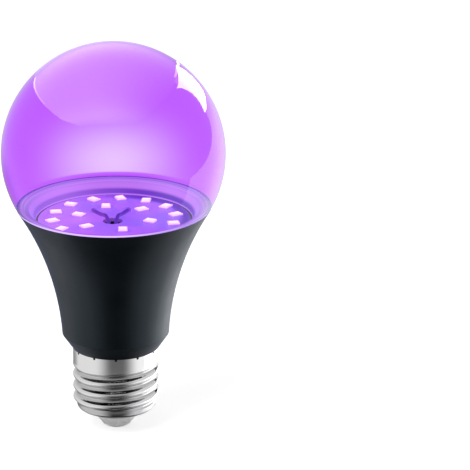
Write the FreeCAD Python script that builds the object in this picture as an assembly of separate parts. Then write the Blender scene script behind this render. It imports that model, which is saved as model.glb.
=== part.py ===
import FreeCAD, Part
import math
import os

from FreeCAD import Vector

# Violet LED lamp with a clear tinted globe, a flared black housing and an E27 screw cap.
# Millimetres. +Z runs up the lamp's axis and the origin is the middle of the centre contact's face.

# Driving dimensions of the outside
LENGTH = 120.0
GLOBE_DIAMETER = 67.0
RIM_HEIGHT = 70.0
WAIST_RADIUS = 16.0
WAIST_HEIGHT = 24.7
FLARE_RADIUS = 84.1
FLARE_FOOT_HEIGHT = 30.0

# Driving dimensions of the E27 cap
PITCH = 3.629
CREST_RADIUS = 13.2
KNUCKLE_RADIUS = 1.025
BAND_RADIUS = 13.05
SHEET = 0.3
CAP_TOP = 25.6
THREAD_TOP = 21.4
THREAD_BOTTOM = 7.3
CREST_PHASE_HEIGHT = 18.4
CORNER_RADIUS = 1.4
CORNER_SWEEP = math.radians(66)
CAP_HOLE_RADIUS = 6.0

# Fineness of the rolled shell's surface
AROUND = 24
ROWS_PER_PITCH = 12
BAND_DEPTHS = (0.0, 0.2, 1.5, 3.0)
CORNER_ROWS = 5
CONE_ROWS = 4

# Cap's insulator and centre contact
PIN_RADIUS = 0.95
CONTACT_THICKNESS = 0.5
INSULATOR_TOP = 6.4

# Walls and fits
CLEARANCE = 0.05
RIM_LIP = 0.8
GLOBE_WALL = 0.9
HOUSING_WALL = RIM_LIP + CLEARANCE + GLOBE_WALL
SINK_WALL = 1.0
LIP_DEPTH = 2.6

# Light source. An LED ring is (count, radius, first angle, angle between neighbours, twist of each LED).
BOARD_TOP = 65.95
BOARD_THICKNESS = 1.2
BOARD_RADIUS = 22.9
WIRE_HOLE_RADIUS = 3.0
WIRE_HOLE_CENTRE = (-0.4, -2.0)
LED_LENGTH = 3.5
LED_WIDTH = 2.8
LED_HEIGHT = 0.7
LED_RINGS = ((10, 18.6, -16.0, 25.6, 24.0), (6, 11.3, -15.0, 60.0, -12.0))

# Driver
NECK_RADIUS = 11.6
NECK_BORE_RADIUS = 10.6
NECK_BOTTOM = 8.5
CIRCUIT_THICKNESS = 1.2
CIRCUIT_BOTTOM = 12.0
CIRCUIT_SHOULDER = 29.0
CIRCUIT_TOP = 57.0
TONGUE_HALF_WIDTH = 10.2
CIRCUIT_HALF_WIDTH = 12.4
WIRE_RADIUS = 0.55
LEG_RADIUS = 0.3

# Sizes that follow from the ones above
GLOBE_RADIUS = GLOBE_DIAMETER / 2
GLOBE_CENTRE = LENGTH - GLOBE_RADIUS
SEAT_HEIGHT = BOARD_TOP - BOARD_THICKNESS
ROOT_RADIUS = CREST_RADIUS - 2 * (KNUCKLE_RADIUS - math.sqrt(KNUCKLE_RADIUS ** 2 - (PITCH / 4) ** 2))
CONE_SLOPE = math.tan(math.pi / 2 - CORNER_SWEEP)
CIRCUIT_FACE = CIRCUIT_THICKNESS / 2
ON_BOARD = BOARD_TOP + WIRE_RADIUS
ON_CIRCUIT = CIRCUIT_FACE + WIRE_RADIUS

# Routes of the leads, chosen by hand
LEAD_ROUTES = {
    "dc_lead_positive": (
        (-2.4, ON_CIRCUIT, 53.0),
        (-2.4, ON_CIRCUIT, 59.8),
        (-1.6, -3.1, 62.6),
        (-1.4, -3.3, 65.2),
        (-2.3, -1.4, 67.5),
        (-4.0, 2.2, ON_BOARD),
        (-6.2, 5.6, ON_BOARD),
    ),
    "dc_lead_negative": (
        (2.4, ON_CIRCUIT, 53.0),
        (2.4, ON_CIRCUIT, 59.8),
        (0.7, -3.1, 62.6),
        (0.5, -3.3, 65.2),
        (1.1, -1.4, 67.5),
        (2.1, 2.6, ON_BOARD),
        (3.7, 6.2, ON_BOARD),
    ),
    "live_lead": (
        (4.0, -ON_CIRCUIT, 18.0),
        (4.0, -ON_CIRCUIT, 10.2),
        (0.0, 0.0, 9.2),
        (0.0, 0.0, 7.0),
    ),
    "neutral_lead": (
        (-4.0, -ON_CIRCUIT, 18.0),
        (-4.0, -ON_CIRCUIT, 11.5),
        (-7.0, -ON_CIRCUIT, 7.9),
        (-11.68, -ON_CIRCUIT, 7.9),
    ),
}


# Shared shapes

def turned(start, *steps):
    """Solid of revolution about Z. A step is the next (radius, height), or an arc as (through, to)."""
    edges = []
    here = start
    for step in steps + (start,):
        is_arc = isinstance(step[0], tuple)
        to = step[1] if is_arc else step
        if to == here:
            continue
        ends = [Vector(r, 0, z) for r, z in (here, to)]
        if is_arc:
            through = Vector(step[0][0], 0, step[0][1])
            edges.append(Part.Arc(ends[0], through, ends[1]).toShape())
        else:
            edges.append(Part.LineSegment(ends[0], ends[1]).toShape())
        here = to
    face = Part.Face(Part.Wire(edges))
    return face.revolve(Vector(0, 0, 0), Vector(0, 0, 1), 360)


def flare(height, inset=0.0):
    """Point of the flared side in section, or of a wall parallel to it that far inside."""
    reach = FLARE_RADIUS + inset
    return WAIST_RADIUS + FLARE_RADIUS - math.sqrt(reach ** 2 - (height - WAIST_HEIGHT) ** 2), height


def flare_arc(bottom, top, inset=0.0):
    return flare((bottom + top) / 2, inset), flare(top, inset)


def ball(height, wall=0.0):
    """Point of the globe's section at a height below its top."""
    return math.sqrt((GLOBE_RADIUS - wall) ** 2 - (height - GLOBE_CENTRE) ** 2), height


def wire_run(points, radius=WIRE_RADIUS):
    """Round wire along straight runs joined by tangent arcs as large as the runs allow."""
    points = [Vector(*point) for point in points]
    edges = []
    here = points[0]
    for before, corner, after in zip(points, points[1:], points[2:]):
        back = before - corner
        ahead = after - corner
        trim = 0.45 * min(back.Length, ahead.Length)
        back.normalize()
        ahead.normalize()
        half_turn = (math.pi - back.getAngle(ahead)) / 2
        bend = trim / math.tan(half_turn)
        bisector = (back + ahead).normalize()
        start = corner + back * trim
        end = corner + ahead * trim
        middle = corner + bisector * (math.hypot(trim, bend) - bend)
        edges.append(Part.LineSegment(here, start).toShape())
        edges.append(Part.Arc(start, middle, end).toShape())
        here = end
    edges.append(Part.LineSegment(here, points[-1]).toShape())
    path = Part.Wire(edges)
    section = Part.Wire(Part.makeCircle(radius, points[0], points[1] - points[0]))
    return path.makePipeShell([section], True, True)


# Globe and housing

def make_globe():
    """Clear tinted ball with a thinner lip that drops inside the housing's rim."""
    lip_inset = RIM_LIP + CLEARANCE
    lip_bottom = RIM_HEIGHT - LIP_DEPTH + CLEARANCE
    blend_height = RIM_HEIGHT + 1.4
    return turned(
        ball(RIM_HEIGHT),
        ((GLOBE_RADIUS, GLOBE_CENTRE), (0.0, LENGTH)),
        (0.0, LENGTH - GLOBE_WALL),
        ((GLOBE_RADIUS - GLOBE_WALL, GLOBE_CENTRE), ball(blend_height, GLOBE_WALL)),
        flare(RIM_HEIGHT, lip_inset + GLOBE_WALL),
        flare_arc(RIM_HEIGHT, lip_bottom, lip_inset + GLOBE_WALL),
        flare(lip_bottom, lip_inset),
        flare_arc(lip_bottom, RIM_HEIGHT, lip_inset),
    )


def make_housing():
    """Flared plastic body, a chamfer above the cap and a neck that plugs into it."""
    ledge = RIM_HEIGHT - LIP_DEPTH
    inner_foot = FLARE_FOOT_HEIGHT + 0.8
    step_height = THREAD_TOP - 0.3
    step_rise = 1.0
    band_bore = BAND_RADIUS - SHEET
    cap_cover = BAND_RADIUS + 0.1
    neck_blend_height = CAP_TOP - 0.4
    body = turned(
        (NECK_BORE_RADIUS, NECK_BOTTOM),
        (NECK_RADIUS, NECK_BOTTOM),
        (NECK_RADIUS, step_height),
        (band_bore, step_height + step_rise),
        (band_bore, CAP_TOP),
        (cap_cover, CAP_TOP),
        flare(FLARE_FOOT_HEIGHT),
        flare_arc(FLARE_FOOT_HEIGHT, RIM_HEIGHT),
        flare(RIM_HEIGHT, RIM_LIP),
        flare_arc(RIM_HEIGHT, ledge, RIM_LIP),
        flare(ledge, HOUSING_WALL),
        flare_arc(ledge, inner_foot, HOUSING_WALL),
        (NECK_BORE_RADIUS, neck_blend_height),
    )
    return body.fuse(guide_rails())


def guide_rails():
    """Two grooved rails in the neck that hold the driver board's tongue, each with a floor."""
    rail_depth = 2.2
    rail_width = 1.1
    rail_top = CAP_TOP - 1.0
    floor = 1.0
    into_wall = 0.3
    inner = NECK_BORE_RADIUS + into_wall - rail_depth
    groove = CIRCUIT_FACE + CLEARANCE
    rails = []
    for side in (-1, 1):
        left = inner if side > 0 else -inner - rail_depth
        for face in (groove, -groove - rail_width):
            corner = Vector(left, face, CIRCUIT_BOTTOM - floor)
            rails.append(Part.makeBox(rail_depth, rail_width, rail_top - CIRCUIT_BOTTOM + floor, corner))
        corner = Vector(left, -groove, CIRCUIT_BOTTOM - floor)
        rails.append(Part.makeBox(rail_depth, 2 * groove, floor, corner))
    return rails


def wire_hole(bottom, thickness, margin=0.0):
    """Cutter for the off-centre hole that the two supply leads come up through."""
    centre = Vector(*WIRE_HOLE_CENTRE, bottom)
    return Part.makeCylinder(WIRE_HOLE_RADIUS + margin, thickness, centre)


def make_heat_sink():
    """Aluminium liner: a skirt inside the housing, a sunk floor under the LED board and a sloped dish rim."""
    skin = HOUSING_WALL + CLEARANCE
    skirt_bottom = 36.0
    dish_top = RIM_HEIGHT - 0.6
    dish_foot = (23.9, RIM_HEIGHT - 2.7)
    floor_bottom = SEAT_HEIGHT - SINK_WALL
    seat_radius = BOARD_RADIUS + 0.3
    hole_margin = 0.6
    liner = turned(
        (0.0, floor_bottom),
        flare(floor_bottom, skin + SINK_WALL),
        flare_arc(floor_bottom, skirt_bottom, skin + SINK_WALL),
        flare(skirt_bottom, skin),
        flare_arc(skirt_bottom, dish_top, skin),
        flare(dish_top, skin + SINK_WALL),
        dish_foot,
        (seat_radius, SEAT_HEIGHT),
        (0.0, SEAT_HEIGHT),
    )
    return liner.cut(wire_hole(floor_bottom, SINK_WALL, hole_margin))


# Light source

def make_led_board():
    """Round metal-core board with a hole for the two supply leads."""
    board = Part.makeCylinder(BOARD_RADIUS, BOARD_THICKNESS, Vector(0, 0, SEAT_HEIGHT))
    return board.cut(wire_hole(SEAT_HEIGHT, BOARD_THICKNESS))


def led_package():
    """One LED: a flat white body with a clipped corner and a sunk window."""
    clip = 0.5
    rim = 0.35
    sink = 0.12
    x = LED_LENGTH / 2
    y = LED_WIDTH / 2
    corners = ((-x, -y), (x, -y), (x, y - clip), (x - clip, y), (-x, y), (-x, -y))
    base = Part.Face(Part.makePolygon([Vector(a, b, 0) for a, b in corners]))
    body = base.extrude(Vector(0, 0, LED_HEIGHT))
    window_corner = Vector(rim - x, rim - y, LED_HEIGHT - sink)
    window = Part.makeBox(LED_LENGTH - 2 * rim, LED_WIDTH - 2 * rim, sink, window_corner)
    return body.cut(window)


def make_leds():
    """Both rings of LEDs, each LED turned with its place. The outer ring is open towards the viewer."""
    axis = Vector(0, 0, 1)
    leds = {}
    for count, ring_radius, first, spacing, twist in LED_RINGS:
        for step in range(count):
            led = led_package()
            led.rotate(Vector(0, 0, 0), axis, twist)
            led.translate(Vector(ring_radius, 0, BOARD_TOP))
            led.rotate(Vector(0, 0, 0), axis, first + step * spacing)
            leds["led_%02d" % (len(leds) + 1)] = led
    return leds


def solder_joint(end, away, off):
    """Half dome of solder on a board's face: its flat side closes the end of the wire that lies there."""
    radius = 1.4
    height = 1.5
    base = Vector(0, 0, 0)
    edge = Vector(radius, 0, 0)
    shoulder = Vector(0.75 * radius, 0, 0.7 * height)
    top = Vector(0, 0, height)
    outline = (Part.Arc(edge, shoulder, top), Part.LineSegment(top, base), Part.LineSegment(base, edge))
    profile = Part.Face(Part.Wire([curve.toShape() for curve in outline]))
    half = profile.revolve(base, Vector(0, 0, 1), 180)
    half.Placement = FreeCAD.Placement(end - off * WIRE_RADIUS, FreeCAD.Rotation(Vector(), away, off, "ZYX"))
    return half


def make_solder_joints():
    """Solder at both ends of the supply leads, and at the mains leads' ends on the driver board."""
    joints = []
    for name, route in LEAD_ROUTES.items():
        route = [Vector(*point) for point in route]
        circuit_side = Vector(0, math.copysign(1, route[0].y), 0)
        joints.append(solder_joint(route[0], (route[0] - route[1]).normalize(), circuit_side))
        if name.startswith("dc_lead"):
            joints.append(solder_joint(route[-1], (route[-1] - route[-2]).normalize(), Vector(0, 0, 1)))
    return Part.makeCompound(joints)


# Driver

def make_driver_board():
    """T-shaped circuit board, its tongue held by the rails in the neck."""
    half = (
        (TONGUE_HALF_WIDTH, CIRCUIT_BOTTOM),
        (TONGUE_HALF_WIDTH, CIRCUIT_SHOULDER),
        (CIRCUIT_HALF_WIDTH, CIRCUIT_SHOULDER),
        (CIRCUIT_HALF_WIDTH, CIRCUIT_TOP),
    )
    outline = half + tuple((-x, z) for x, z in reversed(half)) + half[:1]
    face = Part.Face(Part.makePolygon([Vector(x, -CIRCUIT_FACE, z) for x, z in outline]))
    return face.extrude(Vector(0, CIRCUIT_THICKNESS, 0))


def make_electrolytic_capacitor():
    """Can lying along the board in the neck, with its crimp groove and two bent legs."""
    radius = 4.0
    length = 11.5
    bottom = 13.8
    rounding = 0.3
    groove_depth = 0.35
    groove_middle = length - 1.9
    groove_half = 0.5
    leg_offset = 1.75
    leg_reach = 2.0
    centre_y = CIRCUIT_FACE + radius
    can = turned(
        (0.0, 0.0),
        (radius - rounding, 0.0),
        (radius, rounding),
        (radius, groove_middle - groove_half),
        (radius - groove_depth, groove_middle),
        (radius, groove_middle + groove_half),
        (radius, length - rounding),
        (radius - rounding, length),
        (0.0, length),
    )
    can.translate(Vector(0, centre_y, bottom))
    top = bottom + length
    bend = top + leg_reach
    legs = []
    for x in (-leg_offset, leg_offset):
        route = ((x, centre_y, top), (x, centre_y, bend), (x, CIRCUIT_FACE, bend))
        legs.append(wire_run(route, LEG_RADIUS))
    return can.fuse(legs)


def make_inductor():
    """Drum choke standing on the board: two flanges with a wound waist."""
    flange_radius = 4.5
    wound_radius = 4.0
    flange = 1.2
    height = 10.0
    place_height = 37.0
    drum = turned(
        (0.0, 0.0),
        (flange_radius, 0.0),
        (flange_radius, flange),
        (wound_radius, flange),
        (wound_radius, height - flange),
        (flange_radius, height - flange),
        (flange_radius, height),
        (0.0, height),
    )
    drum.rotate(Vector(0, 0, 0), Vector(1, 0, 0), -90)
    drum.translate(Vector(0, CIRCUIT_FACE, place_height))
    return drum


def make_film_capacitor():
    """Boxed capacitor standing on the board above the choke."""
    width = 7.2
    depth = 6.0
    height = 4.5
    bottom = 44.5
    rounding = 0.5
    box = Part.makeBox(width, depth, height, Vector(-width / 2, CIRCUIT_FACE, bottom))
    outer_face = CIRCUIT_FACE + depth
    edges = [edge for edge in box.Edges if edge.BoundBox.YMin > outer_face - rounding]
    return box.makeFillet(rounding, edges)


def make_flat_pack(width, length, height, pins, pin_width, middle):
    """Surface-mounted package on the board's back face, with flat pins on its two long sides."""
    pin_reach = 1.0
    pin_thickness = 0.25
    chamfer = 0.3
    x, z = middle
    back = -CIRCUIT_FACE
    face = back - height
    body = Part.makeBox(width, height, length, Vector(x - width / 2, face, z - length / 2))
    body = body.makeChamfer(chamfer, [edge for edge in body.Edges if edge.BoundBox.YMax < face + chamfer])
    tabs = []
    gap = length / pins
    for step in range(pins):
        low = z - length / 2 + gap * (step + 0.5) - pin_width / 2
        corner = Vector(x - width / 2 - pin_reach, back - pin_thickness, low)
        tabs.append(Part.makeBox(width + 2 * pin_reach, pin_thickness, pin_width, corner))
    return body.fuse(tabs).removeSplitter()


def make_rectifier():
    return make_flat_pack(width=4.0, length=4.7, height=2.4, pins=2, pin_width=0.7, middle=(0.0, 24.0))


def make_driver_chip():
    return make_flat_pack(width=3.9, length=4.9, height=1.5, pins=4, pin_width=0.42, middle=(0.0, 38.0))


def make_fusible_resistor():
    """Small axial resistor lying on the back of the board, its legs bent into it."""
    radius = 1.3
    half = 3.5
    waist = 0.2
    cap_length = 1.4
    blend = 0.4
    height = 46.0
    leg_reach = 2.0
    centre_y = -CIRCUIT_FACE - radius
    body = turned(
        (0.0, -half),
        (radius, -half),
        (radius, cap_length - half),
        (radius - waist, cap_length + blend - half),
        (radius - waist, half - cap_length - blend),
        (radius, half - cap_length),
        (radius, half),
        (0.0, half),
    )
    body.rotate(Vector(0, 0, 0), Vector(0, 1, 0), 90)
    body.translate(Vector(0, centre_y, height))
    legs = []
    for side in (-1, 1):
        start = side * half
        bend = side * (half + leg_reach)
        route = ((start, centre_y, height), (bend, centre_y, height), (bend, -CIRCUIT_FACE, height))
        legs.append(wire_run(route, LEG_RADIUS))
    return body.fuse(legs)


# Cap

def knuckle(distance, inset):
    """Radius of the rolled thread at a height above a crest: a crest arc and a root arc that touch."""
    from_crest = abs((distance + PITCH / 2) % PITCH - PITCH / 2)
    crest_arc = KNUCKLE_RADIUS - inset
    root_arc = KNUCKLE_RADIUS + inset
    if from_crest <= PITCH / 4 * crest_arc / KNUCKLE_RADIUS:
        return CREST_RADIUS - KNUCKLE_RADIUS + math.sqrt(crest_arc ** 2 - from_crest ** 2)
    from_root = PITCH / 2 - from_crest
    return ROOT_RADIUS + KNUCKLE_RADIUS - math.sqrt(root_arc ** 2 - from_root ** 2)


def smooth(value):
    value = min(max(value, 0.0), 1.0)
    return value * value * (3 - 2 * value)


def cap_radius(angle, height, inset):
    """Radius of the shell's wall: plain band, right-handed thread, and a plain end under it."""
    run_out = PITCH / 2
    thread = knuckle(height - CREST_PHASE_HEIGHT - PITCH * angle / (2 * math.pi), inset)
    into_band = smooth((THREAD_TOP - height) / run_out)
    into_end = smooth((height - THREAD_BOTTOM) / run_out)
    plain = BAND_RADIUS if height > (THREAD_TOP + THREAD_BOTTOM) / 2 else ROOT_RADIUS
    depth = min(into_band, into_end)
    return thread * depth + (plain - inset) * (1 - depth)


def cap_rows(inset):
    """Rows of the wall from top to hole: a height for a wall row, or a plain (radius, height)."""
    rows = [CAP_TOP - depth for depth in BAND_DEPTHS]
    thread_length = THREAD_TOP - THREAD_BOTTOM
    count = round(thread_length / PITCH * ROWS_PER_PITCH)
    rows += [THREAD_TOP - thread_length * row / count for row in range(count + 1)]
    corner = CORNER_RADIUS - inset
    corner_centre = ROOT_RADIUS - CORNER_RADIUS
    for row in range(1, CORNER_ROWS + 1):
        sweep = CORNER_SWEEP * row / CORNER_ROWS
        rows.append((corner_centre + corner * math.cos(sweep), THREAD_BOTTOM - corner * math.sin(sweep)))
    radius, height = rows[-1]
    for row in range(1, CONE_ROWS + 1):
        reach = (radius - CAP_HOLE_RADIUS) * row / CONE_ROWS
        rows.append((radius - reach, height - CONE_SLOPE * reach))
    return rows


def hole_height(inset):
    """Height at which the shell's wall meets its hole."""
    return cap_rows(inset)[-1][1]


def cap_surface(inset):
    """Smooth closed surface through the rows; its poles stand off by the gain that a cubic loses."""
    gain = 3 / (2 + math.cos(2 * math.pi / AROUND))
    poles = []
    for step in range(AROUND):
        angle = 2 * math.pi * step / AROUND
        column = []
        for row in cap_rows(inset):
            radius, height = row if isinstance(row, tuple) else (cap_radius(angle, row, inset), row)
            column.append(Vector(gain * radius * math.cos(angle), gain * radius * math.sin(angle), height))
        poles.append(column)
    spans = len(poles[0]) - 3
    around_knots = list(range(AROUND + 1))
    down_knots = list(range(spans + 1))
    down_counts = [4] + [1] * (spans - 1) + [4]
    surface = Part.BSplineSurface()
    surface.buildFromPolesMultsKnots(
        poles, [1] * (AROUND + 1), down_counts, around_knots, down_knots, True, False, 3, 3
    )
    return surface


def rim_edges(face):
    """The face's closed edges, highest first."""
    closed = [edge for edge in face.Edges if edge.isClosed()]
    return sorted(closed, key=lambda edge: -edge.BoundBox.ZMax)


def make_screw_shell():
    """Thin rolled sheet: plain band, E27 knuckle thread, drawn-in end, and punch marks round the top."""
    outer = cap_surface(0.0).toShape()
    inner = cap_surface(SHEET).toShape()
    outer_edges = rim_edges(outer)
    inner_edges = rim_edges(inner)
    brim = Part.makeFace([Part.Wire(outer_edges[0]), Part.Wire(inner_edges[0])], "Part::FaceMakerBullseye")
    hole = Part.makeRuledSurface(outer_edges[-1], inner_edges[-1])
    wall = Part.makeShell([outer, inner, brim, hole])
    wall.sewShape(1e-4)
    return Part.makeSolid(wall).cut(punch_marks())


def punch_marks():
    """Small nicks that stake the shell's top edge to the neck."""
    count = 12
    first = -88.0
    radius = 0.4
    below_edge = 0.25
    marks = []
    for step in range(count):
        angle = math.radians(first + step * 360 / count)
        out = Vector(math.cos(angle), math.sin(angle), 0)
        start = out * (BAND_RADIUS - 2 * SHEET) + Vector(0, 0, CAP_TOP - below_edge)
        marks.append(Part.makeCylinder(radius, 4 * SHEET, start, out))
    return marks


def make_insulator():
    """Pale bead that fills the shell's hole: a flange inside it and a tapered nose below."""
    seat_gap = 0.01
    flange_radius = 8.4
    rounding = 0.4
    taper_height = 2.7
    tip_radius = 4.0
    tip_rounding = 0.5
    nose_radius = CAP_HOLE_RADIUS - CLEARANCE / 2
    seat_edge = hole_height(SHEET) + seat_gap
    seat = seat_edge + CONE_SLOPE * (flange_radius - CAP_HOLE_RADIUS)
    tip = CONTACT_THICKNESS
    tip_shoulder = (tip_radius + 0.7 * tip_rounding, tip + 0.2 * tip_rounding)
    tip_edge = (tip_radius + tip_rounding, tip + tip_rounding)
    return turned(
        (PIN_RADIUS, tip),
        (tip_radius, tip),
        (tip_shoulder, tip_edge),
        (nose_radius, taper_height),
        (nose_radius, seat_edge),
        (flange_radius, seat),
        (flange_radius, INSULATOR_TOP - rounding),
        (flange_radius - rounding, INSULATOR_TOP),
        (PIN_RADIUS, INSULATOR_TOP),
    )


def make_centre_contact():
    """Pressed contact: a round button with a pin that runs up through the insulator."""
    face_radius = 3.3
    button_radius = 3.8
    rounding = 0.4
    pin_top = 7.0
    pin_chamfer = 0.3
    shoulder = (face_radius + 0.35, 0.15)
    return turned(
        (0.0, 0.0),
        (face_radius, 0.0),
        (shoulder, (button_radius, rounding)),
        (button_radius, CONTACT_THICKNESS),
        (PIN_RADIUS, CONTACT_THICKNESS),
        (PIN_RADIUS, pin_top - pin_chamfer),
        (PIN_RADIUS - pin_chamfer, pin_top),
        (0.0, pin_top),
    )


def make_all():
    """Every piece of the lamp by name."""
    pieces = {
        "globe": make_globe(),
        "housing": make_housing(),
        "heat_sink": make_heat_sink(),
        "led_board": make_led_board(),
        "solder_joints": make_solder_joints(),
        "driver_board": make_driver_board(),
        "electrolytic_capacitor": make_electrolytic_capacitor(),
        "inductor": make_inductor(),
        "film_capacitor": make_film_capacitor(),
        "rectifier": make_rectifier(),
        "driver_chip": make_driver_chip(),
        "fusible_resistor": make_fusible_resistor(),
        "screw_shell": make_screw_shell(),
        "insulator": make_insulator(),
        "centre_contact": make_centre_contact(),
    }
    pieces.update(make_leds())
    pieces.update({name: wire_run(route) for name, route in LEAD_ROUTES.items()})
    return pieces


os.makedirs("parts", exist_ok=True)
for node, shape in make_all().items():
    shape.exportStep("parts/%s.step" % node)
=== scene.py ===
import math

import bpy
from mathutils import Matrix, Vector


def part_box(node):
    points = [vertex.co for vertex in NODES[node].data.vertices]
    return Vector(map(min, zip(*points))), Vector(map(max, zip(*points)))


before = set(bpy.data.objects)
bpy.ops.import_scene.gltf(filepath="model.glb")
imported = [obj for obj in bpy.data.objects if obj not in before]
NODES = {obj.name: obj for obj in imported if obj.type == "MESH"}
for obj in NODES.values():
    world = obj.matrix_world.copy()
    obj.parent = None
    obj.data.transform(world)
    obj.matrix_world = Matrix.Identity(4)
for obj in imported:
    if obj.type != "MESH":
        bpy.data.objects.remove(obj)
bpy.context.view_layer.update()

# Looks of a violet LED lamp: clear tinted globe, LED board under painted violet light, satin black housing,
# rolled nickel cap.
# Metres. +Z runs up the lamp's axis and the origin is the middle of the centre contact's face.

MM = 0.001
DEGREE = math.radians(1)
WHITE = (1.0, 1.0, 1.0)

# Heights and radii taken from the solids
GLOBE_RADIUS = (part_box("globe")[1].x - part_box("globe")[0].x) / 2
GLOBE_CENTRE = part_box("globe")[1].z - GLOBE_RADIUS
GLOBE_WALL = 0.9 * MM
RIM_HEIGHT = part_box("housing")[1].z
BOARD_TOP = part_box("led_board")[1].z
BOARD_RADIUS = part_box("led_board")[1].x
SINK_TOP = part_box("heat_sink")[1].z
CREST_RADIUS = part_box("screw_shell")[1].x
ROOT_DEPTH = 1.1 * MM

# Rings of LEDs: count, radius, angle of the first and angle between two
LED_RINGS = (
    (10, 18.6 * MM, -16.0 * DEGREE, 25.6 * DEGREE),
    (6, 11.3 * MM, -15.0 * DEGREE, 60.0 * DEGREE),
)

# The photograph's view. Pixels are in its 470 by 470 frame.
FRAME_PIXELS = 470
CONTACT_PIXEL = (116.9, 422.6)
PIXELS_PER_METRE = 3264
DISTANCE = 1.0
ELEVATION = 19.0 * DEGREE
SENSOR = 36.0


# Node trees

class Shader:
    """Builds one material, or the world, node by node."""

    def __init__(self, name=None):
        self.owner = bpy.data.materials.new(name) if name else bpy.context.scene.world
        self.owner.use_nodes = True
        self.tree = self.owner.node_tree
        self.tree.nodes.clear()

    def node(self, kind, inputs=None, **settings):
        node = self.tree.nodes.new(kind)
        for key, value in settings.items():
            setattr(node, key, value)
        for key, value in (inputs or {}).items():
            self.feed(node.inputs[key], value)
        return node

    def feed(self, socket, value):
        """Links a socket or sets a plain value."""
        if isinstance(value, bpy.types.NodeSocket):
            self.tree.links.new(value, socket)
        elif isinstance(value, tuple) and len(value) == 3 and socket.type == "RGBA":
            socket.default_value = (*value, 1.0)
        else:
            socket.default_value = value

    def math(self, operation, a, b=0.0):
        return self.node("ShaderNodeMath", {0: a, 1: b}, operation=operation).outputs[0]

    def plus(self, a, b):
        return self.math("ADD", a, b)

    def minus(self, a, b):
        return self.math("SUBTRACT", a, b)

    def times(self, first, *others):
        product = first
        for other in others:
            product = self.math("MULTIPLY", product, other)
        return product

    def absolute(self, value):
        return self.math("ABSOLUTE", value)

    def length(self, a, b):
        return self.math("SQRT", self.plus(self.times(a, a), self.times(b, b)))

    def fade(self, value, start, end, low=0.0, high=1.0):
        """Smooth step from low at start to high at end."""
        inputs = {"Value": value, "From Min": start, "From Max": end, "To Min": low, "To Max": high}
        return self.node("ShaderNodeMapRange", inputs, interpolation_type="SMOOTHSTEP").outputs[0]

    def band(self, value, start, full, last, end):
        """1 from full to last, fading to 0 at start and at end."""
        return self.times(self.fade(value, start, full), self.fade(value, last, end, 1.0, 0.0))

    def weigh(self, share, a, b):
        """Number a where the share is 0 and b where it is 1."""
        return self.plus(self.times(a, self.minus(1.0, share)), self.times(b, share))

    def blend(self, share, a, b):
        """Colour a where the share is 0 and b where it is 1."""
        node = self.node("ShaderNodeMix", data_type="RGBA")
        self.feed(node.inputs["Factor"], share)
        self.feed(node.inputs[6], a)
        self.feed(node.inputs[7], b)
        return node.outputs[2]

    def coordinates(self):
        return self.node("ShaderNodeTexCoord").outputs["Object"]

    def axes(self, vector=None):
        """X, Y and Z of a place on the object, or of another vector."""
        return self.node("ShaderNodeSeparateXYZ", {0: vector or self.coordinates()}).outputs

    def radius(self, axes):
        """Distance from the lamp's axis."""
        return self.length(axes["X"], axes["Y"])

    def noise(self, size, detail=3.0, stretch=None):
        """Noise from 0 to 1 with grains about that size across, in metres."""
        place = self.coordinates()
        if stretch:
            place = self.node("ShaderNodeMapping", {"Vector": place, "Scale": stretch}).outputs[0]
        inputs = {"Vector": place, "Scale": 1 / size, "Detail": detail}
        return self.node("ShaderNodeTexNoise", inputs).outputs["Fac"]

    def uneven(self, noise, low, high):
        """Roughness that wanders with a noise from low to high."""
        return self.fade(noise, 0.3, 0.7, low, high)

    def bump(self, height, distance, strength=1.0):
        inputs = {"Height": height, "Distance": distance, "Strength": strength}
        return self.node("ShaderNodeBump", inputs).outputs[0]

    def principled(self, inputs):
        return self.node("ShaderNodeBsdfPrincipled", inputs).outputs[0]

    def transparent(self, color=WHITE):
        return self.node("ShaderNodeBsdfTransparent", {"Color": color}).outputs[0]

    def emission(self, color, strength):
        return self.node("ShaderNodeEmission", {"Color": color, "Strength": strength}).outputs[0]

    def background(self, strength):
        return self.node("ShaderNodeBackground", {"Color": WHITE, "Strength": strength}).outputs[0]

    def mix(self, share, a, b):
        return self.node("ShaderNodeMixShader", {0: share, 1: a, 2: b}).outputs[0]

    def add(self, a, b):
        return self.node("ShaderNodeAddShader", {0: a, 1: b}).outputs[0]

    def finish(self, surface):
        is_world = self.owner == bpy.context.scene.world
        self.node("ShaderNodeOutputWorld" if is_world else "ShaderNodeOutputMaterial", {"Surface": surface})
        return self.owner


def dress(material, *names):
    """Gives whole CAD nodes a material."""
    for name in names:
        slots = NODES[name].data.materials
        slots.clear()
        slots.append(material)


# Globe

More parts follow.
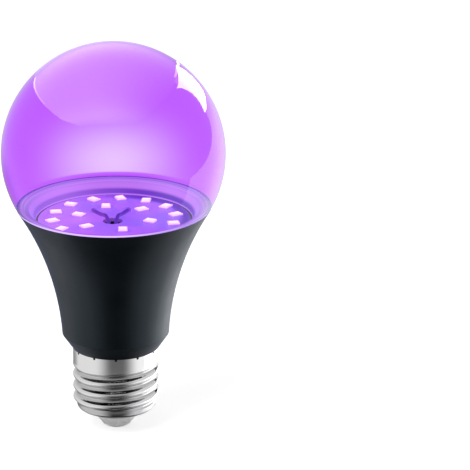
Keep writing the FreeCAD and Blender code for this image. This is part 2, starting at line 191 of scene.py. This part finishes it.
def tinted_globe():
    """Clear violet plastic: tinted walls, a painted milky glow of the LEDs' light low on the far wall,
    painted light on the lip in the rim and a painted highlight along the foot.
    """
    tint = (0.665, 0.248, 0.955)
    reflectance = 0.06
    s = Shader("tinted_globe")
    axes = s.axes()
    above_rim = s.minus(axes["Z"], RIM_HEIGHT)
    reach = s.length(s.radius(axes), s.minus(axes["Z"], GLOBE_CENTRE))
    outer = s.math("GREATER_THAN", reach, GLOBE_RADIUS - GLOBE_WALL / 2)
    inner = s.minus(1.0, outer)
    front = s.minus(1.0, s.node("ShaderNodeNewGeometry").outputs["Backfacing"])
    facing = s.node("ShaderNodeLayerWeight", {"Blend": 0.5}).outputs["Facing"]

    # Each wall tints once, and its outer face mirrors more at a flat angle
    clear = s.transparent(s.blend(outer, WHITE, tint))
    gloss = s.node("ShaderNodeBsdfAnisotropic", {"Color": WHITE, "Roughness": 0.03}).outputs[0]
    mirrored = s.plus(s.times(s.math("POWER", facing, 5.0), 1.0 - reflectance), reflectance)
    wall = s.mix(s.times(mirrored, outer, front), clear, gloss)

    # Lip that stands in the housing's rim: painted violet light, a brighter painted line at the rim's
    # height, and painted shade towards +X
    line = s.fade(s.absolute(above_rim), 0.05 * MM, 0.25 * MM, 1.0, 0.0)
    seated = s.times(s.fade(above_rim, 0.1 * MM, 0.3 * MM, 1.0, 0.0), inner)
    lip_color = s.blend(line, (0.70, 0.74, 0.97), (0.52, 0.44, 0.86))
    lip = s.emission(lip_color, s.fade(axes["X"], 24 * MM, 31 * MM, 1.0, 0.45))
    wall = s.mix(seated, wall, lip)

    # Painted milky glow of the LEDs' light on the far wall's inside, weaker where the wall is seen at an
    # angle
    glow = s.times(s.band(above_rim, 0.3 * MM, 2 * MM, 2 * MM, 28 * MM), front, inner)
    glow = s.times(glow, s.math("POWER", s.minus(1.0, facing), 7.0))
    painted_glow = s.emission((0.26, 1.0, 0.08), s.times(glow, 2.05))

    # Painted highlight: a bright line along the outer foot just above the rim, weaker towards +X
    foot = s.times(s.fade(above_rim, 0.35 * MM, 0.85 * MM, 1.0, 0.0), front, outer)
    edge = s.emission((0.95, 0.80, 0.95), s.times(foot, s.fade(axes["X"], 0.0, 24 * MM, 0.65, 0.25)))
    return s.finish(s.add(s.add(wall, painted_glow), edge))


# Housing and liner

def black_housing():
    """Satin black moulding with a fine spark-eroded grain. The face under the globe has painted violet
    light.
    """
    s = Shader("black_housing")
    cloud = s.noise(12 * MM, 2.0)
    rim_face = s.fade(s.axes()["Z"], RIM_HEIGHT - 0.03 * MM, RIM_HEIGHT - 0.01 * MM)
    return s.finish(s.principled({
        "Base Color": s.blend(cloud, (0.0015, 0.0020, 0.0030), (0.0025, 0.0032, 0.0045)),
        "Roughness": s.uneven(cloud, 0.34, 0.42),
        "Specular IOR Level": 0.44,
        "Specular Tint": (0.62, 0.84, 1.0),
        "Sheen Weight": 0.16,
        "Sheen Roughness": 0.3,
        "Sheen Tint": (0.0, 0.20, 1.0),
        "Normal": s.bump(s.noise(0.35 * MM, 4.0), 0.02 * MM, 0.25),
        # Painted violet light on the rim's top face under the globe
        "Emission Color": (0.24, 0.11, 0.70),
        "Emission Strength": s.times(rim_face, 0.9),
    }))


def liner_metal():
    """Spun aluminium with painted violet light on the dish above the board and painted shade on the wall
    beside the board.
    """
    near_blue = (0.48, 0.44, 0.86)
    far_pale = (0.78, 0.72, 0.95)
    s = Shader("liner_metal")
    axes = s.axes()
    height = axes["Z"]
    turns = s.noise(0.5 * MM, 3.0, (0.03, 0.03, 3.0))
    # Painted shade on the wall beside the board, in the base colour and the light, darker towards +X
    wall = s.band(height, BOARD_TOP, BOARD_TOP + 0.5 * MM, SINK_TOP - 2.2 * MM, SINK_TOP - 1.2 * MM)
    shade = s.times(wall, s.fade(axes["X"], -18 * MM, 18 * MM, 0.6, 1.0))
    # Painted light on the dish: bluer at the front, paler at the back
    dish = s.blend(s.fade(axes["Y"], -10 * MM, 20 * MM), near_blue, far_pale)
    above_board = s.fade(height, BOARD_TOP - 0.2 * MM, BOARD_TOP)
    # Painted shade: the light dims a little at the top lip
    lip = s.fade(height, SINK_TOP - 0.4 * MM, SINK_TOP - 0.1 * MM, 1.0, 0.9)
    return s.finish(s.principled({
        "Base Color": s.blend(shade, (0.28, 0.30, 0.34), (0.04, 0.04, 0.06)),
        "Metallic": 1.0,
        "Roughness": s.uneven(turns, 0.38, 0.52),
        "Normal": s.bump(turns, 0.02 * MM, 0.3),
        "Emission Color": s.blend(shade, dish, (0.17, 0.04, 0.56)),
        "Emission Strength": s.times(above_board, lip),
    }))


# Light source

def near_leds(s, axes):
    """For both rings: how far along and across from the nearest LED a place on the board is."""
    angle = s.math("ARCTAN2", axes["Y"], axes["X"])
    radius = s.radius(axes)
    found = []
    for count, ring, first, spacing in LED_RINGS:
        turned = s.math("FLOORED_MODULO", s.minus(angle, first - spacing / 2), 2 * math.pi)
        place = s.math("MINIMUM", s.math("FLOOR", s.math("DIVIDE", turned, spacing)), count - 1.0)
        local = s.minus(turned, s.times(s.plus(place, 0.5), spacing))
        found.append((s.absolute(s.times(local, ring)), s.absolute(s.minus(radius, ring))))
    return found


def board_white():
    """White lacquer over two ring tracks, with painted violet light, a painted shadow round each LED and
    painted shade at the rim.
    """
    violet = (0.32, 0.40, 0.70)
    mauve = (0.54, 0.44, 0.78)
    s = Shader("board_white")
    axes = s.axes()
    tracks = 0.0
    shadow_round_leds = 0.0
    for along, across in near_leds(s, axes):
        tracks = s.math("MAXIMUM", s.fade(across, 1.0 * MM, 1.2 * MM, 1.0, 0.0), tracks)
        # Painted shadow round each LED
        led_shadow = s.fade(s.length(along, across), 2.0 * MM, 3.0 * MM, 1.0, 0.0)
        shadow_round_leds = s.math("MAXIMUM", led_shadow, shadow_round_leds)
    # Painted shade near the rim, in the base colour and the light, strong towards +X and faint towards -X
    rim = s.times(s.fade(s.radius(axes), BOARD_RADIUS - 4.6 * MM, BOARD_RADIUS - 1.6 * MM),
                  s.fade(axes["X"], -12 * MM, 12 * MM, 0.15, 1.0))

    # Painted violet light, changing at random, bluer towards +X and pinker towards -X
    lit = s.blend(s.fade(s.noise(9 * MM, 1.0), 0.35, 0.65), violet, mauve)
    lit = s.blend(s.fade(axes["X"], -4 * MM, 22 * MM, 0.0, 0.5), lit, (0.14, 0.24, 0.60))
    lit = s.blend(s.fade(axes["X"], -18 * MM, -6 * MM, 0.6, 0.0), lit, (0.68, 0.48, 0.80))
    lit = s.blend(s.times(tracks, 0.10), lit, (0.45, 0.55, 0.9))
    lit = s.blend(s.times(shadow_round_leds, 0.5), lit, (0.10, 0.10, 0.42))
    lit = s.blend(rim, lit, (0.14, 0.03, 0.50))
    relief = s.plus(tracks, s.times(s.noise(0.6 * MM), 0.2))
    return s.finish(s.principled({
        "Base Color": s.blend(rim, (0.48, 0.50, 0.58), (0.06, 0.06, 0.08)),
        "Roughness": 0.42,
        "Normal": s.bump(relief, 0.04 * MM, 0.6),
        "Emission Color": lit,
        # Painted light is full on the top face and dimmer on the board's edge
        "Emission Strength": s.fade(axes["Z"], BOARD_TOP - 0.2 * MM, BOARD_TOP - 0.02 * MM, 0.3, 1.0),
    }))


def led_window():
    """Lit LED: violet at its foot, a pale rim and a sunk window that shines white."""
    foot_power = 0.7
    body_power = 2.3
    window_power = 3.2
    rim_power = 1.7
    s = Shader("led_window")
    above = s.minus(s.axes()["Z"], BOARD_TOP)
    body = s.fade(above, 0.25 * MM, 0.55 * MM)
    rim = s.fade(above, 0.61 * MM, 0.66 * MM)
    window = s.band(above, 0.54 * MM, 0.56 * MM, 0.60 * MM, 0.64 * MM)
    color = s.blend(body, (0.42, 0.50, 0.75), (0.52, 1.0, 0.42))
    power = s.plus(s.times(body, body_power - foot_power), foot_power)
    power = s.plus(power, s.times(window, window_power - body_power))
    power = s.minus(power, s.times(rim, body_power - rim_power))
    return s.finish(s.principled({
        "Base Color": (0.85, 0.80, 0.88),
        "Roughness": 0.35,
        "Emission Color": s.blend(rim, color, (0.60, 0.92, 0.57)),
        "Emission Strength": power,
    }))


def lit_above_board(s, strength):
    """Strength of the painted violet light on a piece that comes up through the board's hole."""
    return s.times(s.fade(s.axes()["Z"], BOARD_TOP - 3 * MM, BOARD_TOP), strength)


def wire_cover(name, color, lit):
    """PVC insulation: its own colour inside the housing, with painted violet light above the board."""
    s = Shader(name)
    return s.finish(s.principled({
        "Base Color": color,
        "Roughness": s.uneven(s.noise(0.8 * MM), 0.34, 0.48),
        "Normal": s.bump(s.noise(0.3 * MM), 0.01 * MM, 0.3),
        "Emission Color": lit,
        "Emission Strength": lit_above_board(s, 0.8),
    }))


def solder():
    """Tin solder, bright and slightly wrinkled, with painted violet light above the board."""
    s = Shader("solder")
    wrinkle = s.noise(0.5 * MM, 2.0)
    return s.finish(s.principled({
        "Base Color": s.blend(wrinkle, (0.55, 0.55, 0.57), (0.78, 0.78, 0.80)),
        "Metallic": 1.0,
        "Roughness": s.uneven(wrinkle, 0.18, 0.34),
        "Normal": s.bump(wrinkle, 0.08 * MM, 0.5),
        "Emission Color": (0.40, 0.20, 0.80),
        "Emission Strength": lit_above_board(s, 0.5),
    }))


# Driver

def circuit_board():
    """Pale phenolic laminate, its back face with lacquered tracks."""
    cell = 6 * MM
    s = Shader("circuit_board")
    weave = s.noise(0.4 * MM, 2.0, (1.0, 1.0, 0.3))
    cells = s.node("ShaderNodeTexVoronoi", {"Vector": s.coordinates(), "Scale": 1 / cell},
                   feature="DISTANCE_TO_EDGE", distance="CHEBYCHEV").outputs["Distance"]
    track = s.fade(cells, 0.05, 0.09)
    back = s.fade(s.axes()["Y"], -0.4 * MM, -0.55 * MM)
    face = s.blend(weave, (0.42, 0.27, 0.10), (0.52, 0.35, 0.15))
    copper = s.blend(track, (0.03, 0.12, 0.04), (0.06, 0.24, 0.08))
    return s.finish(s.principled({
        "Base Color": s.blend(back, face, copper),
        "Roughness": s.uneven(weave, 0.35, 0.55),
        "Normal": s.bump(s.times(track, back), 0.03 * MM, 0.5),
    }))


def capacitor_sleeve():
    """Shrink sleeve with a pale stripe, bare aluminium ends and tinned legs."""
    can_length = 11.5 * MM
    half_circuit_board = 0.6 * MM
    low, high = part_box("electrolytic_capacitor")
    can_radius = (high.x - low.x) / 2
    can_top = low.z + can_length
    s = Shader("capacitor_sleeve")
    axes = s.axes()
    from_axis = s.minus(axes["Y"], half_circuit_board + can_radius)
    spread = s.length(axes["X"], from_axis)
    end = s.math("MAXIMUM", s.fade(axes["Z"], can_top - 0.02 * MM, can_top),
                 s.fade(axes["Z"], low.z, low.z + 0.02 * MM, 1.0, 0.0))
    metal = s.times(end, s.fade(spread, can_radius - 0.9 * MM, can_radius - 0.7 * MM, 1.0, 0.0))
    metal = s.math("MAXIMUM", metal, s.fade(axes["Z"], can_top, can_top + 0.05 * MM))
    stripe = s.times(s.fade(axes["X"], 1.6 * MM, 1.7 * MM), s.fade(from_axis, 0.0, 0.1 * MM))
    sleeve = s.blend(stripe, (0.012, 0.016, 0.05), (0.45, 0.47, 0.52))
    return s.finish(s.principled({
        "Base Color": s.blend(metal, sleeve, (0.75, 0.75, 0.77)),
        "Metallic": metal,
        "Roughness": s.uneven(s.noise(2 * MM), 0.24, 0.38),
    }))


def choke_winding():
    """Dark ferrite flanges round enamelled copper turns."""
    pitch = 0.35 * MM
    flange = 1.2 * MM
    low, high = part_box("inductor")
    half = (high.y - low.y) / 2
    s = Shader("choke_winding")
    across = s.minus(s.axes()["Y"], (low.y + high.y) / 2)
    wound = s.fade(s.absolute(across), half - flange - 0.05 * MM, half - flange, 1.0, 0.0)
    turn = s.math("SINE", s.times(across, 2 * math.pi / pitch))
    ridges = s.times(s.fade(turn, -1.0, 1.0), wound)
    copper = s.blend(ridges, (0.20, 0.05, 0.015), (0.62, 0.22, 0.06))
    relief = s.plus(ridges, s.times(s.noise(0.2 * MM), 0.1))
    return s.finish(s.principled({
        "Base Color": s.blend(wound, (0.025, 0.025, 0.027), copper),
        "Metallic": s.times(wound, 0.8),
        "Roughness": s.uneven(s.noise(0.6 * MM), 0.28, 0.5),
        "Normal": s.bump(relief, 0.08 * MM, 0.7),
    }))


def film_box():
    """Yellow dipped box, slightly uneven."""
    s = Shader("film_box")
    cloud = s.noise(3 * MM, 2.0)
    return s.finish(s.principled({
        "Base Color": s.blend(cloud, (0.62, 0.36, 0.03), (0.75, 0.47, 0.05)),
        "Roughness": s.uneven(cloud, 0.3, 0.42),
        "Normal": s.bump(s.noise(0.5 * MM), 0.02 * MM, 0.4),
    }))


def package_black():
    """Moulded epoxy body with tinned flat pins."""
    pin_length = 1.0 * MM
    body_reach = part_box("driver_chip")[1].x - pin_length
    s = Shader("package_black")
    pins = s.fade(s.absolute(s.axes()["X"]), body_reach, body_reach + 0.06 * MM)
    grain = s.noise(0.15 * MM)
    return s.finish(s.principled({
        "Base Color": s.blend(pins, (0.018, 0.018, 0.020), (0.72, 0.72, 0.74)),
        "Metallic": pins,
        "Roughness": s.uneven(grain, 0.4, 0.55),
        "Normal": s.bump(grain, 0.02 * MM, 0.4),
    }))


def resistor_coat():
    """Blue-green lacquer with plain colour bands and tinned legs."""
    half_length = 3.5 * MM
    half_band = 0.30 * MM
    bands = (
        (-2.3 * MM, (0.35, 0.08, 0.02)),
        (-0.9 * MM, (0.02, 0.02, 0.02)),
        (0.3 * MM, (0.65, 0.38, 0.02)),
        (1.9 * MM, (0.60, 0.42, 0.12)),
    )
    s = Shader("resistor_coat")
    along = s.axes()["X"]
    color = (0.16, 0.30, 0.26)
    for place, band_color in bands:
        off = s.absolute(s.minus(along, place))
        color = s.blend(s.fade(off, half_band, half_band + 0.04 * MM, 1.0, 0.0), color, band_color)
    legs = s.fade(s.absolute(along), half_length, half_length + 0.05 * MM)
    return s.finish(s.principled({
        "Base Color": s.blend(legs, color, (0.74, 0.74, 0.76)),
        "Metallic": legs,
        "Roughness": s.uneven(s.noise(0.7 * MM), 0.28, 0.42),
    }))


# Cap

def nickel_plate():
    """Rolled nickel-plated sheet: bright crests, painted shade in the roots, faint turning marks and
    fingermarks.
    """
    s = Shader("nickel_plate")
    crest = s.fade(s.radius(s.axes()), CREST_RADIUS - ROOT_DEPTH, CREST_RADIUS - 0.2 * MM)
    rub = s.noise(0.25 * MM, 3.0, (0.06, 0.06, 1.0))
    smudge = s.noise(5 * MM, 2.0)
    # Painted shade: the thread's roots get a darker base colour than its crests
    root_shade = s.blend(smudge, (0.50, 0.50, 0.51), (0.60, 0.60, 0.61))
    bright = s.blend(smudge, (0.80, 0.80, 0.80), (0.90, 0.90, 0.90))
    wear = s.plus(s.times(smudge, 0.6), s.times(rub, 0.4))
    return s.finish(s.principled({
        "Base Color": s.blend(crest, root_shade, bright),
        "Metallic": 1.0,
        "Roughness": s.fade(wear, 0.35, 0.65, 0.10, 0.22),
        "Normal": s.bump(rub, 0.01 * MM, 0.25),
    }))


def insulator_white():
    """Pale opaque glass with a faint cloud in it."""
    s = Shader("insulator_white")
    cloud = s.noise(2 * MM)
    return s.finish(s.principled({
        "Base Color": s.blend(cloud, (0.86, 0.86, 0.86), (0.93, 0.93, 0.93)),
        "Roughness": s.uneven(cloud, 0.2, 0.32),
        "Normal": s.bump(cloud, 0.03 * MM, 0.3),
    }))


def contact_plate():
    """Pressed tinned plate, rubbed bright in the middle."""
    s = Shader("contact_plate")
    rub = s.noise(0.4 * MM)
    worn = s.times(s.fade(s.radius(s.axes()), 1.0 * MM, 2.6 * MM, 1.0, 0.0), rub)
    return s.finish(s.principled({
        "Base Color": s.blend(worn, (0.52, 0.50, 0.47), (0.78, 0.77, 0.74)),
        "Metallic": 1.0,
        "Roughness": s.uneven(rub, 0.24, 0.42),
        "Normal": s.bump(rub, 0.02 * MM, 0.4),
    }))


def dress_lamp():
    leds = sorted(name for name in NODES if name.startswith("led_") and name != "led_board")
    dress(tinted_globe(), "globe")
    dress(black_housing(), "housing")
    dress(liner_metal(), "heat_sink")
    dress(board_white(), "led_board")
    dress(led_window(), *leds)
    dress(wire_cover("wire_red", (0.20, 0.015, 0.02), (0.14, 0.16, 0.60)), "dc_lead_positive")
    black = wire_cover("wire_black", (0.015, 0.015, 0.017), (0.20, 0.14, 0.62))
    dress(black, "dc_lead_negative", "neutral_lead")
    dress(wire_cover("wire_white", (0.70, 0.70, 0.68), (0.40, 0.20, 0.80)), "live_lead")
    dress(solder(), "solder_joints")
    dress(circuit_board(), "driver_board")
    dress(capacitor_sleeve(), "electrolytic_capacitor")
    dress(choke_winding(), "inductor")
    dress(film_box(), "film_capacitor")
    dress(package_black(), "rectifier", "driver_chip")
    dress(resistor_coat(), "fusible_resistor")
    dress(nickel_plate(), "screw_shell")
    dress(insulator_white(), "insulator")
    dress(contact_plate(), "centre_contact")


# Camera

def camera_axes():
    """The camera's right, up and backward directions."""
    right = Vector((1, 0, 0))
    up = Vector((0, math.sin(ELEVATION), math.cos(ELEVATION)))
    back = Vector((0, -math.cos(ELEVATION), math.sin(ELEVATION)))
    return right, up, back


def camera_place():
    """Where the camera stands for the contact to land on its pixel."""
    right, up, back = camera_axes()
    middle = FRAME_PIXELS / 2
    aim = right * (middle - CONTACT_PIXEL[0]) - up * (middle - CONTACT_PIXEL[1])
    return aim / PIXELS_PER_METRE + back * DISTANCE


def add_camera():
    """The photograph's view."""
    data = bpy.data.cameras.new("camera")
    data.sensor_width = SENSOR
    data.lens = SENSOR * PIXELS_PER_METRE * DISTANCE / FRAME_PIXELS
    data.clip_start = 0.05
    camera = bpy.data.objects.new("camera", data)
    camera.matrix_world = Matrix(camera_axes()).transposed().to_4x4()
    camera.location = camera_place()
    bpy.context.scene.collection.objects.link(camera)
    bpy.context.scene.camera = camera


# Studio

def plane(name, corners, material):
    """Flat stage piece."""
    mesh = bpy.data.meshes.new(name)
    mesh.from_pydata([tuple(corner) for corner in corners], [], [range(len(corners))])
    mesh.materials.append(material)
    piece = bpy.data.objects.new(name, mesh)
    bpy.context.scene.collection.objects.link(piece)
    return piece


def add_floor():
    """Pale floor just under the lamp: near white to the camera, with a shadow, and clear from below."""
    half_size = 30.0
    gap = 0.05 * MM
    s = Shader("floor")
    paper = s.node("ShaderNodeBsdfDiffuse", {"Color": (0.80, 0.80, 0.80)}).outputs[0]
    shown = s.add(paper, s.emission(WHITE, 0.6))
    seen = s.mix(s.node("ShaderNodeLightPath").outputs["Is Camera Ray"], paper, shown)
    underside = s.node("ShaderNodeNewGeometry").outputs["Backfacing"]
    material = s.finish(s.mix(underside, seen, s.transparent()))
    corners = [(x * half_size, y * half_size, -gap) for x, y in ((-1, -1), (1, -1), (1, 1), (-1, 1))]
    floor = plane("floor", corners, material)
    floor.visible_glossy = False


def tent_level(s, x, away, around, z):
    """Strength that glossy rays see: dark in front of the lamp, bright at its sides, dimmer behind it."""
    front = s.plus(s.fade(z, -0.75, -0.1, 0.03, 0.20), s.fade(z, -0.1, 0.3, 0.0, 0.15))
    low_side = s.times(s.fade(x, 0.3, 0.95, 0.85, 1.05), s.fade(z, -0.94, -0.78))
    side = s.weigh(s.fade(z, -0.35, -0.05), low_side, 0.75)
    rear = s.fade(z, -0.38, -0.22, 0.30, 0.70)
    off_middle = s.absolute(s.minus(around, 5 * DEGREE))
    level = s.weigh(s.fade(off_middle, 12 * DEGREE, 62 * DEGREE), front, side)
    return s.weigh(s.fade(away, 115 * DEGREE, 145 * DEGREE), level, rear)


def tent_panel(s, around, z):
    """Bright panel on the right, whose near edge curves towards the camera as it goes down."""
    curve_top = 0.12
    curve_depth = 0.42
    farthest = 132.5 * DEGREE
    nearest = 86 * DEGREE
    sweep = 46 * DEGREE
    drop = s.math("DIVIDE", s.math("MAXIMUM", s.minus(curve_top, z), 0.0), curve_depth)
    edge = s.minus(farthest, s.times(s.math("POWER", drop, 2), sweep))
    beyond = s.minus(around, s.math("MAXIMUM", edge, nearest))
    return s.times(
        s.fade(beyond, 0.0, 2 * DEGREE),
        s.fade(z, -0.93, -0.38),
        s.fade(z, -0.1, 0.1, 1.0, 0.75),
        s.fade(around, 125 * DEGREE, 175 * DEGREE, 2.5, 0.85),
    )


def add_world():
    """White to the camera, even light for matt surfaces and a tent with a panel for glossy ones."""
    bpy.context.scene.world = bpy.data.worlds.new("studio")
    s = Shader()
    x, y, z = s.axes(s.node("ShaderNodeTexCoord").outputs["Generated"])
    around = s.math("ARCTAN2", x, s.times(y, -1.0))
    away = s.absolute(around)
    tent = s.math("MAXIMUM", tent_level(s, x, away, around, z), tent_panel(s, around, z))
    rays = s.node("ShaderNodeLightPath").outputs
    unseen = s.mix(rays["Is Glossy Ray"], s.background(0.55), s.background(tent))
    s.finish(s.mix(rays["Is Camera Ray"], unseen, s.background(1.0)))


def globe_only():
    """Collection that the cards shine on."""
    name = "globe_only"
    if name not in bpy.data.collections:
        bpy.data.collections.new(name).objects.link(NODES["globe"])
    return bpy.data.collections[name]


def add_card(name, corners, glow):
    """Reflector for the globe alone. The glow is a number, or a function of the card's shader."""
    s = Shader(name)
    strength = glow(s) if callable(glow) else glow
    card = plane(name, corners, s.finish(s.emission(WHITE, strength)))
    card.visible_camera = False
    card.visible_diffuse = False
    card.visible_shadow = False
    card.visible_transmission = False
    card.light_linking.receiver_collection = globe_only()


def overhead(height, outline):
    """Corners above the globe. Outline points are across and back for the camera, per unit of height."""
    right, up, back = camera_axes()
    middle = Vector((0, 0, GLOBE_CENTRE))
    return [middle + height * (right * across + up - back * behind) for across, behind in outline]


def add_overhead_cards():
    """Wide softbox over the globe, strongest on the left, with bright piping down both edges."""
    height = 0.6
    piping_height = 0.98 * height
    left_edge = ((-1.50, -0.43), (-1.43, 0.06), (-1.25, 1.0), (-1.08, 1.94), (-0.89, 6.3))
    right_edge = ((0.47, 6.3), (0.51, 3.8), (0.69, 1.34), (0.785, 0.65), (0.96, -0.09))
    outline = ((-1.20, -1.90), (-1.55, -1.00), *left_edge, *right_edge, (0.95, -0.6), (0.9, -1.9))

    def glow(s):
        x, depth = s.axes()[:2]
        across = s.fade(x, -0.4 * height, 1.15 * height, 2.9, 0.8)
        back = s.fade(depth, 0.6 * height, 2.6 * height, 1.0, 0.35)
        front = s.fade(depth, -1.8 * height, -0.7 * height)
        return s.times(across, back, front)

    add_card("overhead_card", overhead(height, outline), glow)
    for name, edge, width, power in (("left_piping", left_edge[1:4], 0.05, 4.5),
                                     ("right_piping", right_edge[1:4], -0.04, 3.6)):
        inside = [(across + width, behind) for across, behind in reversed(edge)]
        add_card(name, overhead(piping_height, (*edge, *inside)), power)


def reflected(pixel, reach):
    """Place seen in the globe's front at a pixel of the photo's frame, that far from the globe."""
    right, up, back = camera_axes()
    eye = camera_place()
    across = (pixel[0] - FRAME_PIXELS / 2) / PIXELS_PER_METRE
    down = (pixel[1] - FRAME_PIXELS / 2) / PIXELS_PER_METRE
    ray = (right * across - up * down - back * DISTANCE).normalized()
    start = eye - Vector((0, 0, GLOBE_CENTRE))
    ahead = -start.dot(ray)
    travel = ahead - math.sqrt(ahead ** 2 - start.length_squared + GLOBE_RADIUS ** 2)
    normal = (start + ray * travel).normalized()
    return eye + ray * travel + (ray - 2 * ray.dot(normal) * normal) * reach


def add_window_card():
    """Bright window behind the globe on the right, its outline traced from the white crescent on it."""
    reach = 0.5
    strength = 9.0
    outline = (
        (175.5, 65.0), (182.0, 68.5), (189.0, 74.0), (195.0, 80.0), (200.0, 86.0), (204.0, 93.0),
        (206.0, 101.0), (206.5, 109.0), (205.0, 113.0), (203.0, 109.0), (200.5, 103.0), (197.0, 98.0),
        (192.0, 93.0), (186.0, 89.5), (181.0, 88.0), (177.0, 88.0), (178.3, 83.0), (178.5, 78.0),
        (177.5, 72.0),
    )
    add_card("window_card", [reflected(pixel, reach) for pixel in outline], strength)


def add_key_light():
    """Soft lamp up on the left, for the floor's shadow and the matt pieces."""
    light = bpy.data.lights.new("key", "AREA")
    light.size = 0.7
    light.energy = 5.0
    lamp = bpy.data.objects.new("key", light)
    lamp.location = (-0.55, -0.6, 0.95)
    aim = Vector((0, 0, GLOBE_CENTRE)) - lamp.location
    lamp.rotation_euler = aim.to_track_quat("-Z", "Y").to_euler()
    lamp.visible_glossy = False
    bpy.context.scene.collection.objects.link(lamp)


dress_lamp()
add_world()
add_floor()
add_overhead_cards()
add_window_card()
add_key_light()
add_camera()
bpy.context.scene.view_settings.view_transform = "Standard"
